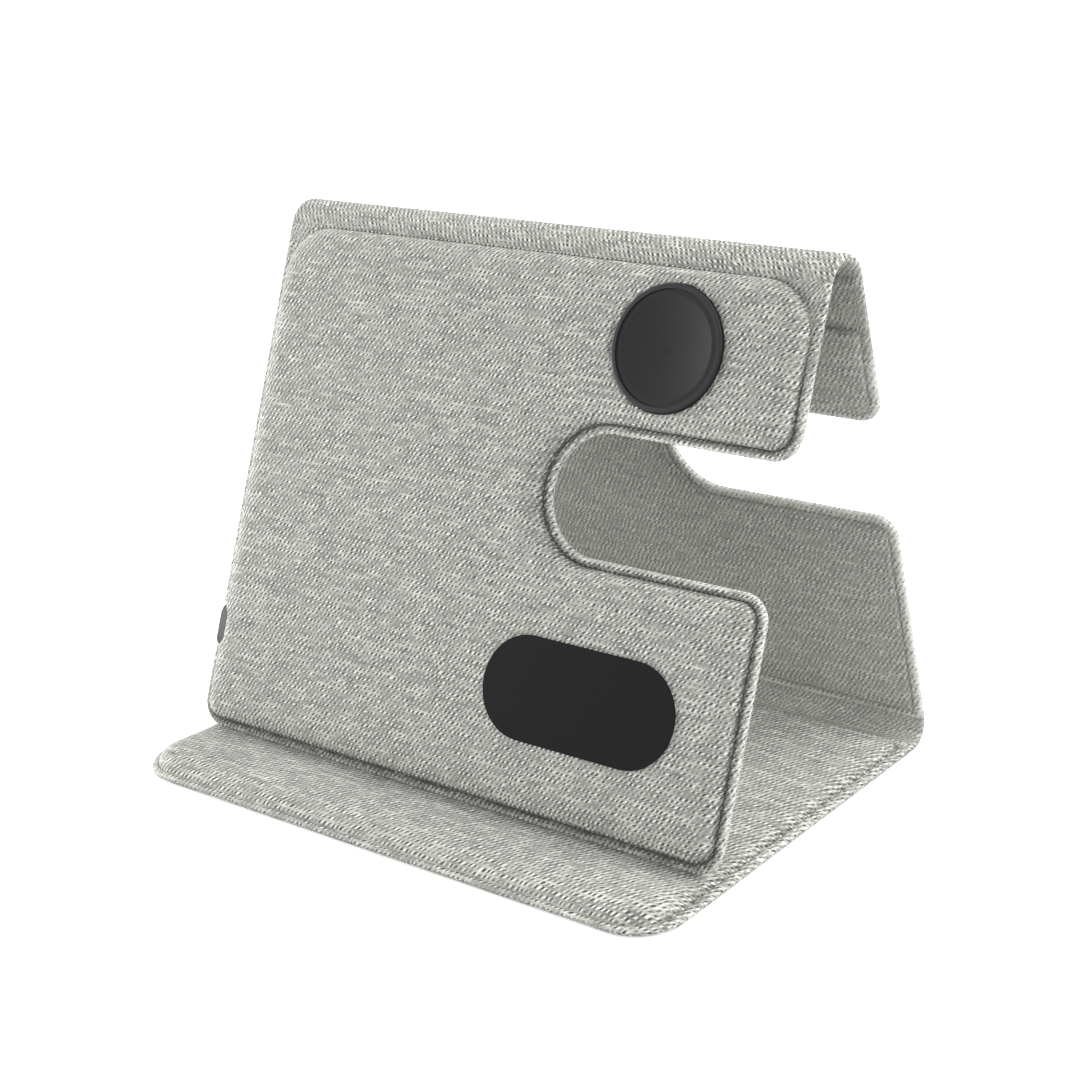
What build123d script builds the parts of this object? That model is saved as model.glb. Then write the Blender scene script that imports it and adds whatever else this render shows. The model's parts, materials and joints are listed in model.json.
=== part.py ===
from build123d import *
import math
import os

# A cloth-covered folding charging stand: a flat base, a back leaf and a front leaf in one strip.
# The leaves lean together as a tent, with a cut through both on the right that a watch strap hangs in.
# +X is to the right, +Y to the back and +Z up. The origin is under the middle of the stand.

# Stand
width = 155.4
base_depth = 114.9          # front edge to the outermost point of the rear fold
heel_setback = 25.6         # front edge of the base to the heel of the front leaf
front_leaf_length = 127.2   # heel to the start of the top fold
back_leaf_length = 117.8    # end of the rear fold to the start of the top fold
rear_fold_radius = 6.0      # outside of the cloth
top_fold_radius = 7.3       # outside of the cloth

# Cloth and film
cloth = 0.9
glue_film = 0.1
ribbon_width = 10.0
ribbon_thickness = 0.25
ribbon_play = 0.05
ribbon_notch_gap = 8.5      # end of the front leaf's cut to the ribbon cable

# Base
foot_height = 0.5
foot_radius = 5.0
foot_inset = 13.0           # middle of a foot from the edges of the base
base_height = 4.2           # underside of the feet to the top of the pad
base_corner = 12.0
base_flange = 2.6           # cloth margin beside the pad
base_front_flange = 1.4     # cloth margin in front of the pad
base_pad_rear_gap = 2.0     # pad's rear edge to the axis of the rear fold
base_pad_front_corner = 11.0
base_pad_rear_corner = 5.0
base_pad_edge = 1.6         # rounding of the pad's upper edge
base_foam_thickness = 0.3
heel_gap = 0.1              # heel of the front leaf over the pad

# Front leaf, measured from its heel
front_flange = 2.2
front_corner = 6.5
front_pad_rise = 3.0
front_pad_edge = 2.2
front_pad_top_gap = 0.5     # pad's upper edge to the start of the top fold
front_pad_top_corner = 13.0
front_lining_rise = 1.5
front_lining_edge = 1.2
front_foam_thickness = 0.8
front_notch_height = 27.9
front_notch_depth = 60.8

# Back leaf, measured from the end of the rear fold
back_corner = 5.5
back_board_thickness = 1.0
back_board_margin = 3.0     # cloth margin around the board
back_board_end_gap = 14.0   # board's upper edge to the start of the top fold
back_lining_edge = 0.6
back_notch_low = 56.5
back_notch_high = 81.4
back_notch_depth = 59.0

# Plastic housings inside the base and the front leaf
skin = 0.8                  # front and back walls of the front leaf's housing
base_skin = 0.4             # upper and lower walls of the base's housing
wall = 1.0                  # side walls
seat_gap = 0.2              # housing to the cloth around it
part_gap = 0.1              # inner pieces to each other
shell_edge = 0.5

# Charging coils
phone_coil_thickness = 0.9
ferrite_thickness = 0.5
phone_coil_inset = 46.0     # middle of the coil from the left edge
phone_coil_height = 70.0    # above the heel
phone_coil_outer = 23.0
phone_coil_inner = 10.0
phone_ferrite_side = 50.0
earbuds_coil_thickness = 0.5
earbuds_ferrite_thickness = 0.3
earbuds_coil_inset = 40.0   # middle of the coil from the right edge
earbuds_coil_setback = 26.5 # middle of the coil from the pad's rear edge
earbuds_coil_outer = 15.0
earbuds_coil_inner = 6.0
earbuds_ferrite_side = 34.0
ferrite_corner = 5.0

# Watch charging puck
watch_inset = 35.0          # middle of the puck from the right edge
watch_radius = 14.2
watch_proud = 1.0           # rim above the cloth
watch_wall = 1.2
watch_lip = 1.3             # holding lip behind the housing wall
watch_lip_room = 0.35       # lip to the housing's side wall
watch_lip_thickness = 0.8
watch_rim_edge = 0.5
watch_coil_thickness = 1.2
watch_coil_margin = 1.2     # coil inside the case wall
watch_magnet_radius = 4.8
watch_cap_rim = 1.2         # flat rim around the dish
watch_cap_sunk = 0.3        # cap below the rim of the case
watch_dish = 0.9
watch_hole_gap = 0.2

# Bare plate on the front pad
plate_length = 52.0
plate_height = 23.8
plate_thickness = 0.5
plate_inset = 41.4          # middle of the plate from the right edge
plate_rise = 29.5           # middle of the plate above the heel

# Control board and its socket
board_left_gap = 0.2        # board behind the socket
board_length = 96.0
board_low = 10.0
board_high = 42.0
board_thickness = 0.8
board_corner = 2.0
chip_side = 5.0
chip_thickness = 0.9
chip_count = 3
chip_pitch = 24.0
chip_inset = 20.0           # first chip from the board's left edge
capacitor_length = 3.2
capacitor_width = 2.5
capacitor_thickness = 1.1
capacitor_count = 4
capacitor_pitch = 6.0
capacitor_inset = 58.0      # first capacitor from the board's left edge
capacitor_row_gap = 6.4     # row of capacitors under the board's upper edge
socket_rise = 25.0          # middle of the socket above the heel
socket_width = 8.94
socket_height = 3.26
socket_depth = 7.35
socket_sheet = 0.3
socket_recess = 1.0         # mouth of the socket behind the face of the bezel
tongue_width = 6.7
tongue_thickness = 0.7
tongue_back = 1.2           # moulding that carries the tongue at the back of the socket
tongue_recess = 0.6
bezel_margin = 1.1          # plastic around the mouth
bezel_edge_gap = 2.6        # bezel face inside the edge of the cloth
bezel_reach = 3.6

# Magnets that hold the heel on the base
magnet_length = 24.0
magnet_inset = 34.0         # middle of a magnet from the side edge
heel_magnet_width = 4.0
heel_magnet_thickness = 1.5
base_magnet_width = 6.0
base_magnet_thickness = 0.7

small = 0.01

# The tent: the heel, the two fold axes and the lean of each leaf, in the YZ plane
two_cloths = 2 * cloth + glue_film
base_front = -base_depth / 2
heel_y = base_front + heel_setback
heel_z = base_height + heel_gap
rear_axis_y = base_depth / 2 - rear_fold_radius
rear_axis_z = foot_height + rear_fold_radius
heel_to_top = math.hypot(front_leaf_length, top_fold_radius - two_cloths)
rear_to_top = math.hypot(back_leaf_length, rear_fold_radius - top_fold_radius)
heel_to_rear = math.hypot(rear_axis_y - heel_y, rear_axis_z - heel_z)
heel_line = math.atan2(rear_axis_z - heel_z, rear_axis_y - heel_y)
heel_corner = math.acos(
    (heel_to_top**2 + heel_to_rear**2 - rear_to_top**2) / (2 * heel_to_top * heel_to_rear)
)
top_axis_y = heel_y + heel_to_top * math.cos(heel_line + heel_corner)
top_axis_z = heel_z + heel_to_top * math.sin(heel_line + heel_corner)
front_lean = heel_line + heel_corner + math.atan2(top_fold_radius - two_cloths, front_leaf_length)
back_lean = math.pi - math.atan2(top_axis_z - rear_axis_z, top_axis_y - rear_axis_y)
back_lean -= math.atan2(rear_fold_radius - top_fold_radius, back_leaf_length)

# Each leaf is drawn flat, with x across the stand and y up the leaf.
# The front leaf's z points out to the user from the face of its cloth margin.
# The back leaf's z points in from the outer face of its cloth.
front_out = Vector(0, -math.sin(front_lean), math.cos(front_lean))
back_out = Vector(0, math.sin(back_lean), math.cos(back_lean))
front_origin = Vector(0, heel_y, heel_z) + front_out * two_cloths
back_origin = Vector(0, rear_axis_y, rear_axis_z) + back_out * rear_fold_radius
front_leaf = Location(Plane(front_origin, x_dir=(1, 0, 0), z_dir=front_out))
back_leaf = Location(Plane(back_origin, x_dir=(1, 0, 0), z_dir=back_out * -1))
base = Location((0, 0, 0))

# Places across the stand
ribbon_x = width / 2 - front_notch_depth - ribbon_notch_gap - ribbon_width / 2
phone_coil_x = phone_coil_inset - width / 2
earbuds_coil_x = width / 2 - earbuds_coil_inset
watch_x = width / 2 - watch_inset
plate_x = width / 2 - plate_inset
magnet_x = width / 2 - magnet_inset

# Levels of the front leaf's layers
front_cavity_front = front_pad_rise - cloth
front_shell_front = front_cavity_front - front_foam_thickness
front_inside_front = front_shell_front - skin
lining_level = -cloth - glue_film
front_cavity_back = lining_level - front_lining_rise
front_inside_back = front_cavity_back + skin
front_pad_top = front_leaf_length - front_pad_top_gap
front_inset = front_flange + cloth + seat_gap

# The watch arm is as high as the puck needs, and the cut lies under it
watch_surround = watch_lip + watch_lip_room + wall + seat_gap + cloth
watch_height = front_pad_top - watch_surround - watch_radius
front_notch_high = watch_height - watch_radius - watch_surround - front_flange
front_notch_low = front_notch_high - front_notch_height

# Levels of the base's layers
base_cloth_top = foot_height + cloth
base_top_cloth = base_cloth_top + glue_film
base_cavity_top = base_height - cloth
base_shell_top = base_cavity_top - base_foam_thickness
base_inside_top = base_shell_top - base_skin
base_inside_bottom = base_cloth_top + base_skin
base_pad_rear = rear_axis_y - base_pad_rear_gap
earbuds_coil_y = base_pad_rear - earbuds_coil_setback

# Levels of the back leaf's layers
back_lining_level = cloth + glue_film
back_board_top = back_lining_level + back_board_thickness
back_panel_top = back_board_top + glue_film + cloth
back_board_low = back_board_margin
back_board_high = back_leaf_length - back_board_end_gap

# Depth of the ribbon cable under the outer face of the cloth
ribbon_depth = cloth + ribbon_play
ribbon_groove = ribbon_width + 2 * part_gap


def block(x0, x1, y0, y1, z0, z1):
    return Pos((x0 + x1) / 2, (y0 + y1) / 2, (z0 + z1) / 2) * Box(x1 - x0, y1 - y0, z1 - z0)


def slab(outline, low, high):
    return extrude(Pos(0, 0, low) * outline, high - low)


def raised(outline, low, high, edge, upwards=True):
    body = slab(outline, low, high)
    rim = body.edges().group_by(Axis.Z)[-1 if upwards else 0]
    return fillet(rim, edge)


def corners(outline, x, y):
    near = [v for v in outline.vertices() if abs(abs(v.X) - abs(x)) < small and abs(v.Y - y) < small]
    return ShapeList(near if x < 0 else [v for v in near if v.X > 0])


def plain_outline(inset, low, high, low_corner, high_corner):
    side = width / 2 - inset
    outline = Pos(0, (low + high) / 2) * Rectangle(2 * side, high - low)
    for level, radius in ((low, low_corner), (high, high_corner)):
        if radius > 0:
            outline = fillet(corners(outline, -side, level), radius)
    return outline


def notched_outline(inset, low, high, notch, mouth_corner, low_corner, high_corner):
    notch_low, notch_high, notch_depth = notch
    side = width / 2 - inset
    middle = (notch_low + notch_high) / 2
    half = (notch_high - notch_low) / 2
    end_x = width / 2 - notch_depth + half
    reach = width / 2 - end_x
    cut = Pos(end_x, middle) * Circle(half + inset)
    cut += Pos(end_x + reach / 2, middle) * Rectangle(reach, 2 * (half + inset))
    outline = plain_outline(inset, low, high, low_corner, high_corner) - cut
    for level in (notch_low - inset, notch_high + inset):
        outline = fillet(corners(outline, side, level), max(mouth_corner - inset, wall))
    return outline


def front_outline(inset, low, high, high_corner):
    notch = (front_notch_low, front_notch_high, front_notch_depth)
    corner = max(front_corner - inset, wall)
    return notched_outline(inset, low, high, notch, front_corner, corner, high_corner)


def back_outline(inset, low, high):
    notch = (back_notch_low, back_notch_high, back_notch_depth)
    return notched_outline(inset, low, high, notch, back_corner, 0, 0)


def front_pad_outline(inward):
    corner = max(front_pad_top_corner - inward, wall)
    return front_outline(front_flange + inward, front_flange + inward, front_pad_top - inward, corner)


def base_pad_outline(inward):
    return plain_outline(
        base_flange + inward,
        base_front + base_front_flange + inward,
        base_pad_rear - inward,
        max(base_pad_front_corner - inward, wall),
        max(base_pad_rear_corner - inward, wall),
    )


def ring(outer, inner, low, high):
    return slab(Circle(outer) - Circle(inner), low, high)


def ferrite_sheet(side, low, high):
    return slab(RectangleRounded(side, side, ferrite_corner), low, high)


def ribbon_run(low, high, bottom, top, play=0.0):
    half = ribbon_width / 2 + play
    return block(ribbon_x - half, ribbon_x + half, low, high, bottom, top)


def fold_sector(axis_y, axis_z, outer, inner, start, end, x0, x1):
    section = Plane((x0, axis_y, axis_z), x_dir=(0, 1, 0), z_dir=(1, 0, 0))
    sweep = math.degrees(end - start)
    first = math.degrees(start)
    far = CenterArc((0, 0), outer, first, sweep)
    near = CenterArc((0, 0), inner, first, sweep)
    face = make_face([far, near, Line(far @ 0, near @ 0), Line(far @ 1, near @ 1)])
    return extrude(section * face, x1 - x0)


def fold_pieces(axis_y, axis_z, radius, start, end):
    def sector(depth_from, depth_to, x0, x1):
        return fold_sector(axis_y, axis_z, radius - depth_from, radius - depth_to, start, end, x0, x1)

    half = ribbon_width / 2
    cover = sector(0, cloth, -width / 2, width / 2)
    lining = sector(cloth + glue_film, two_cloths, -width / 2, width / 2)
    groove_bottom = ribbon_depth + ribbon_thickness + ribbon_play
    lining -= sector(cloth, groove_bottom, ribbon_x - ribbon_groove / 2, ribbon_x + ribbon_groove / 2)
    ribbon = sector(ribbon_depth, ribbon_depth + ribbon_thickness, ribbon_x - half, ribbon_x + half)
    return cover, lining, ribbon


def base_bottom_cover():
    outline = plain_outline(0, base_front, rear_axis_y, base_corner, 0)
    return slab(outline, foot_height, base_cloth_top)


def base_top_cover():
    outline = plain_outline(0, base_front, rear_axis_y, base_corner, 0)
    margin = slab(outline, base_top_cloth, base_top_cloth + cloth)
    pad = raised(base_pad_outline(0), base_top_cloth, base_height, base_pad_edge)
    hollow = raised(base_pad_outline(cloth), base_top_cloth, base_cavity_top, base_pad_edge - cloth)
    groove_top = foot_height + ribbon_depth + ribbon_thickness + ribbon_play
    groove = ribbon_run(base_pad_rear - 2 * cloth, rear_axis_y, base_cloth_top, groove_top, part_gap)
    return margin + pad - hollow - groove


def base_foam():
    return slab(base_pad_outline(base_pad_edge), base_shell_top, base_cavity_top)


def base_shell():
    inset = cloth + seat_gap
    outer = raised(base_pad_outline(inset), base_inside_bottom, base_shell_top, shell_edge)
    return outer - slab(base_pad_outline(inset + wall), base_inside_bottom, base_inside_top)


def base_plate():
    plate = slab(base_pad_outline(cloth + seat_gap), base_cloth_top, base_inside_bottom)
    way = ribbon_run(earbuds_coil_y, rear_axis_y, base_cloth_top, base_inside_bottom, part_gap)
    return plate - way


def base_ribbon():
    low = foot_height + ribbon_depth
    start = earbuds_coil_y + part_gap
    return ribbon_run(start, rear_axis_y, low, low + ribbon_thickness)


def earbuds_place():
    return Pos(earbuds_coil_x, earbuds_coil_y, 0)


def earbuds_coil():
    top = base_inside_top
    return earbuds_place() * ring(earbuds_coil_outer, earbuds_coil_inner, top - earbuds_coil_thickness, top)


def earbuds_ferrite():
    top = base_inside_top - earbuds_coil_thickness
    return earbuds_place() * ferrite_sheet(earbuds_ferrite_side, top - earbuds_ferrite_thickness, top)


def base_magnet(side):
    bar = Box(magnet_length, base_magnet_width, base_magnet_thickness)
    return Pos(side * magnet_x, heel_y, base_inside_bottom + base_magnet_thickness / 2) * bar


def foot(side, place):
    return Pos(side * (width / 2 - foot_inset), place, foot_height / 2) * Cylinder(foot_radius, foot_height)


def back_cover():
    return slab(back_outline(0, 0, back_leaf_length), 0, cloth)


def back_board_outline(outward):
    margin = back_board_margin - outward
    return back_outline(margin, back_board_low - outward, back_board_high + outward)


def back_groove():
    bottom = ribbon_depth + ribbon_thickness + ribbon_play
    return ribbon_run(0, back_leaf_length, cloth, bottom, part_gap)


def back_board():
    board = slab(back_board_outline(0), back_lining_level, back_board_top)
    return board - back_groove()


def back_lining():
    margin = slab(back_outline(0, 0, back_leaf_length), back_lining_level, two_cloths)
    panel = raised(back_board_outline(cloth), back_lining_level, back_panel_top, back_lining_edge)
    hollow = slab(back_board_outline(part_gap), back_lining_level, back_board_top + glue_film)
    return margin + panel - hollow - back_groove()


def back_ribbon():
    return ribbon_run(0, back_leaf_length, ribbon_depth, ribbon_depth + ribbon_thickness)


def watch_place():
    return Pos(watch_x, watch_height, 0)


def watch_opening():
    hole = Circle(watch_radius + watch_hole_gap)
    return watch_place() * slab(hole, front_inside_front, front_pad_rise + cloth)


def socket_level():
    return (front_pad_rise + front_cavity_back - cloth) / 2


def socket_place(x):
    across = Plane((x, socket_rise, socket_level()), x_dir=(0, 1, 0), z_dir=(1, 0, 0))
    return Location(across)


bezel_face = -width / 2 + bezel_edge_gap
socket_mouth = bezel_face + socket_recess
socket_end = socket_mouth + socket_depth


def bezel_block(gap):
    length = socket_width + 2 * (bezel_margin + gap)
    height = socket_height + 2 * (bezel_margin + gap)
    return socket_place(bezel_face) * extrude(SlotOverall(length, height), bezel_reach + gap)


def socket_block(gap):
    outline = SlotOverall(socket_width + 2 * gap, socket_height + 2 * gap)
    return socket_place(socket_mouth - gap) * extrude(outline, socket_depth + 2 * gap)


def bezel_way():
    length = socket_width + 2 * (bezel_margin + part_gap)
    height = front_pad_rise + two_cloths + front_lining_rise
    mouth = Rectangle(length, 2 * height)
    return socket_place(-width / 2 - wall) * extrude(mouth, wall + bezel_edge_gap)


def usb_bezel():
    way = SlotOverall(socket_width + 2 * part_gap, socket_height + 2 * part_gap)
    return bezel_block(0) - socket_place(bezel_face) * extrude(way, bezel_reach)


def usb_shell():
    inside = SlotOverall(socket_width - 2 * socket_sheet, socket_height - 2 * socket_sheet)
    return socket_block(0) - socket_place(socket_mouth) * extrude(inside, socket_depth - socket_sheet)


def usb_tongue():
    back = socket_end - socket_sheet - part_gap
    inside = SlotOverall(
        socket_width - 2 * (socket_sheet + part_gap), socket_height - 2 * (socket_sheet + part_gap)
    )
    carrier = socket_place(back - tongue_back) * extrude(inside, tongue_back)
    reach = back - socket_mouth - tongue_recess
    blade = extrude(Rectangle(tongue_width, tongue_thickness), reach)
    return carrier + socket_place(socket_mouth + tongue_recess) * blade


def front_cover():
    margin = slab(front_outline(0, 0, front_leaf_length, 0), -cloth, 0)
    pad = raised(front_pad_outline(0), -cloth, front_pad_rise, front_pad_edge)
    hollow = raised(front_pad_outline(cloth), -cloth, front_cavity_front, front_pad_edge - cloth)
    return margin + pad - hollow - watch_opening() - bezel_block(part_gap) - bezel_way()


def front_groove():
    bottom = -ribbon_depth - ribbon_thickness - ribbon_play
    return ribbon_run(front_pad_top - 2 * cloth - wall, front_leaf_length, bottom, -cloth, part_gap)


def front_lining():
    back = lining_level - front_lining_rise - cloth
    margin = slab(front_outline(0, 0, front_leaf_length, 0), lining_level - cloth, lining_level)
    pad = raised(front_pad_outline(0), back, lining_level, front_lining_edge, upwards=False)
    hollow = slab(front_pad_outline(cloth), front_cavity_back, lining_level)
    return margin + pad - hollow - front_groove() - bezel_block(part_gap) - bezel_way()


def front_foam():
    sheet = slab(front_pad_outline(front_pad_edge), front_shell_front, front_cavity_front)
    return sheet - watch_opening() - bezel_block(part_gap) - socket_block(part_gap)


def front_shell():
    inset = cloth + seat_gap
    outer = raised(front_pad_outline(inset), front_inside_back, front_shell_front, shell_edge)
    shell = outer - slab(front_pad_outline(inset + wall), front_inside_back, front_inside_front)
    return shell - watch_opening() - bezel_block(part_gap) - socket_block(part_gap) - front_groove()


def front_plate():
    plate = slab(front_pad_outline(cloth + seat_gap), front_cavity_back, front_inside_back)
    return plate - bezel_block(part_gap) - socket_block(part_gap)


def phone_place():
    return Pos(phone_coil_x, phone_coil_height, 0)


def phone_coil():
    top = front_inside_front
    return phone_place() * ring(phone_coil_outer, phone_coil_inner, top - phone_coil_thickness, top)


def phone_ferrite():
    top = front_inside_front - phone_coil_thickness
    return phone_place() * ferrite_sheet(phone_ferrite_side, top - ferrite_thickness, top)


board_left = socket_end + board_left_gap
board_top = front_inside_back + board_thickness


def control_board():
    middle = (board_low + board_high) / 2
    outline = RectangleRounded(board_length, board_high - board_low, board_corner)
    return Pos(board_left + board_length / 2, middle, 0) * slab(outline, front_inside_back, board_top)


def control_chips():
    chip = Box(chip_side, chip_side, chip_thickness)
    row = (board_low + board_high) / 2
    level = board_top + chip_thickness / 2
    first = board_left + chip_inset
    return [Pos(first + i * chip_pitch, row, level) * chip for i in range(chip_count)]


def tuning_capacitors():
    body = Box(capacitor_width, capacitor_length, capacitor_thickness)
    row = board_high - capacitor_row_gap
    level = board_top + capacitor_thickness / 2
    first = board_left + capacitor_inset
    return [Pos(first + i * capacitor_pitch, row, level) * body for i in range(capacitor_count)]


def front_ribbon():
    top = -ribbon_depth
    return ribbon_run(board_high + part_gap, front_leaf_length, top - ribbon_thickness, top)


def heel_magnet(side):
    low = front_inset + wall + part_gap
    bar = Box(magnet_length, heel_magnet_width, heel_magnet_thickness)
    level = front_inside_back + heel_magnet_thickness / 2
    return Pos(side * magnet_x, low + heel_magnet_width / 2, level) * bar


watch_floor = front_inside_front
watch_top = front_pad_rise + watch_proud
watch_inner = watch_radius - watch_wall
watch_coil_top = watch_floor + ferrite_thickness + watch_coil_thickness
watch_cap_top = watch_top - watch_cap_sunk


def watch_case():
    body = slab(Circle(watch_radius), watch_floor - watch_lip_thickness, watch_top)
    body = fillet(body.edges().group_by(Axis.Z)[-1], watch_rim_edge)
    body += slab(Circle(watch_radius + watch_lip), watch_floor - watch_lip_thickness, watch_floor)
    return watch_place() * (body - slab(Circle(watch_inner), watch_floor, watch_top))


def watch_ferrite():
    disc = Circle(watch_inner - part_gap)
    return watch_place() * slab(disc, watch_floor, watch_floor + ferrite_thickness)


def watch_coil():
    low = watch_floor + ferrite_thickness
    outer = watch_inner - watch_coil_margin
    return watch_place() * ring(outer, watch_magnet_radius + part_gap, low, watch_coil_top)


def watch_magnet():
    return watch_place() * slab(Circle(watch_magnet_radius), watch_floor + ferrite_thickness, watch_coil_top)


def watch_cap():
    radius = watch_inner - part_gap
    dish_radius = radius - watch_cap_rim
    ball = (dish_radius**2 + watch_dish**2) / (2 * watch_dish)
    disc = slab(Circle(radius), watch_coil_top, watch_cap_top)
    return watch_place() * (disc - Pos(0, 0, watch_cap_top + ball - watch_dish) * Sphere(ball))


def front_badge():
    outline = SlotOverall(plate_length, plate_height)
    return Pos(plate_x, plate_rise, 0) * slab(outline, front_pad_rise, front_pad_rise + plate_thickness)


rear_fold = fold_pieces(
    rear_axis_y, rear_axis_z, rear_fold_radius, -math.pi / 2, math.pi / 2 - back_lean
)
top_fold = fold_pieces(
    top_axis_y, top_axis_z, top_fold_radius, math.pi / 2 - back_lean, math.pi / 2 + front_lean
)
foot_front = base_front + foot_inset
foot_rear = rear_axis_y - foot_inset

pieces = {
    "base_bottom_cover": (base, base_bottom_cover()),
    "base_top_cover": (base, base_top_cover()),
    "base_foam": (base, base_foam()),
    "base_shell": (base, base_shell()),
    "base_plate": (base, base_plate()),
    "base_ribbon": (base, base_ribbon()),
    "earbuds_coil": (base, earbuds_coil()),
    "earbuds_ferrite": (base, earbuds_ferrite()),
    "base_magnet_left": (base, base_magnet(-1)),
    "base_magnet_right": (base, base_magnet(1)),
    "foot_front_left": (base, foot(-1, foot_front)),
    "foot_front_right": (base, foot(1, foot_front)),
    "foot_rear_left": (base, foot(-1, foot_rear)),
    "foot_rear_right": (base, foot(1, foot_rear)),
    "rear_fold_cover": (base, rear_fold[0]),
    "rear_fold_lining": (base, rear_fold[1]),
    "rear_fold_ribbon": (base, rear_fold[2]),
    "back_cover": (back_leaf, back_cover()),
    "back_board": (back_leaf, back_board()),
    "back_lining": (back_leaf, back_lining()),
    "back_ribbon": (back_leaf, back_ribbon()),
    "top_fold_cover": (base, top_fold[0]),
    "top_fold_lining": (base, top_fold[1]),
    "top_fold_ribbon": (base, top_fold[2]),
    "front_cover": (front_leaf, front_cover()),
    "front_lining": (front_leaf, front_lining()),
    "front_foam": (front_leaf, front_foam()),
    "front_shell": (front_leaf, front_shell()),
    "front_plate": (front_leaf, front_plate()),
    "front_ribbon": (front_leaf, front_ribbon()),
    "front_badge": (front_leaf, front_badge()),
    "phone_coil": (front_leaf, phone_coil()),
    "phone_ferrite": (front_leaf, phone_ferrite()),
    "control_board": (front_leaf, control_board()),
    "control_chips": (front_leaf, Compound(control_chips())),
    "tuning_capacitors": (front_leaf, Compound(tuning_capacitors())),
    "usb_bezel": (front_leaf, usb_bezel()),
    "usb_shell": (front_leaf, usb_shell()),
    "usb_tongue": (front_leaf, usb_tongue()),
    "heel_magnet_left": (front_leaf, heel_magnet(-1)),
    "heel_magnet_right": (front_leaf, heel_magnet(1)),
    "watch_case": (front_leaf, watch_case()),
    "watch_cap": (front_leaf, watch_cap()),
    "watch_coil": (front_leaf, watch_coil()),
    "watch_ferrite": (front_leaf, watch_ferrite()),
    "watch_magnet": (front_leaf, watch_magnet()),
}

os.makedirs("parts", exist_ok=True)
for name, (place, solid) in pieces.items():
    export_step(place * solid, f"parts/{name}.step")

print("front lean", round(math.degrees(front_lean), 2), "back lean", round(math.degrees(back_lean), 2))
print("rear fold axis", round(rear_axis_y, 3), round(rear_axis_z, 3))
print("top fold axis", round(top_axis_y, 3), round(top_axis_z, 3))
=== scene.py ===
import json
import math
import bmesh
import bpy
import numpy as np
from mathutils import Euler, Matrix, Vector, noise
from mathutils.geometry import delaunay_2d_cdt


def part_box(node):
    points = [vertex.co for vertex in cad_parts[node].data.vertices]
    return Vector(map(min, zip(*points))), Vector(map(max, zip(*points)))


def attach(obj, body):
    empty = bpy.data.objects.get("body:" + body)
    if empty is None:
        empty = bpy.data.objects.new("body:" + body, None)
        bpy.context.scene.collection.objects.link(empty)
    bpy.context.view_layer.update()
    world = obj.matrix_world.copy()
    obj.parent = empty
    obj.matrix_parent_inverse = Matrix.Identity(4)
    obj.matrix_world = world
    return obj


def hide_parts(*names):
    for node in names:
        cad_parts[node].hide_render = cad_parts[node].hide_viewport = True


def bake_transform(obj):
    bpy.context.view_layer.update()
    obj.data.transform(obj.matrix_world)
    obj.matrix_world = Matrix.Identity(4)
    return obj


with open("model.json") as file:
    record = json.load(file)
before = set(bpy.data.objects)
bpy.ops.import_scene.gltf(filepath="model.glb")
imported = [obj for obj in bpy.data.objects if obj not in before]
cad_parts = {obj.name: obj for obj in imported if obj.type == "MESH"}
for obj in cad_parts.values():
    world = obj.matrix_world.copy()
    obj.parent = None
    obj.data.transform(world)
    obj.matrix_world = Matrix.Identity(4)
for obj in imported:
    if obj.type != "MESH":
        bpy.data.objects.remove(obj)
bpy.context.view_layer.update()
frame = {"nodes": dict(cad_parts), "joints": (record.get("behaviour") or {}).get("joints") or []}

mm = 0.001

# the folded strip of cloth, in mm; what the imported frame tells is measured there
stand = {
    "cloth": 0.9,
    "film": 0.1,
    "heelSetback": 25.6,
    "heelGap": 0.1,
    "frontLength": 127.2,
    "backLength": 117.8,
}


def boxOf(node):
    low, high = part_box(node)
    return low / mm, high / mm


def axisOf(joint):
    row = next(j for j in frame["joints"] if j["name"] == joint)
    return Vector(row["pos_m"]) / mm


baseLow, baseHigh = boxOf("base_bottom_cover")
padTop = boxOf("base_top_cover")[1].z
rearAxis = axisOf("rear_fold")
topAxis = axisOf("top_fold")
halfWidth = baseHigh.x
baseFront, baseRear = baseLow.y, rearAxis.y
cloth = stand["cloth"]
twoCloths = 2 * cloth + stand["film"]
rearRadius = rearAxis.z - baseLow.z
topRadius = boxOf("top_fold_cover")[1].z - topAxis.z
heel = Vector((0, baseLow.y + stand["heelSetback"], padTop + stand["heelGap"]))
toTop = topAxis - heel
frontLean = math.atan2(toTop.z, toTop.y) + math.atan2(topRadius - twoCloths, stand["frontLength"])
spine = topAxis - rearAxis
backLean = math.pi - math.atan2(spine.z, spine.y)
backLean -= math.atan2(rearRadius - topRadius, stand["backLength"])

# each leaf is drawn flat: x across, y up the leaf, z as in the part
frontOut = Vector((0, -math.sin(frontLean), math.cos(frontLean)))
frontUp = Vector((0, math.cos(frontLean), math.sin(frontLean)))
backOut = Vector((0, math.sin(backLean), math.cos(backLean)))
backUp = Vector((0, -math.cos(backLean), math.sin(backLean)))
across = Vector((1, 0, 0))


def leafPlace(origin, up, out):
    turn = Matrix((across, up, out)).transposed().to_4x4()
    return Matrix.Scale(mm, 4) @ Matrix.Translation(origin) @ turn


places = {
    "base": Matrix.Scale(mm, 4),
    "front_leaf": leafPlace(heel + frontOut * twoCloths, frontUp, frontOut),
    "back_leaf": leafPlace(rearAxis + backOut * rearRadius, backUp, -backOut),
}
print("tent: front lean %.2f, back lean %.2f" % (math.degrees(frontLean), math.degrees(backLean)))


# materials

def newMaterial(name, roughness=0.6, metallic=0.0, specular=0.5):
    material = bpy.data.materials.new(name)
    material.use_nodes = True
    shader = material.node_tree.nodes["Principled BSDF"]
    w = Wiring(material.node_tree)
    for label, value in (("Roughness", roughness), ("Metallic", metallic), ("Specular IOR Level", specular)):
        w.put(shader.inputs[label], value)
    return material, w, shader


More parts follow.
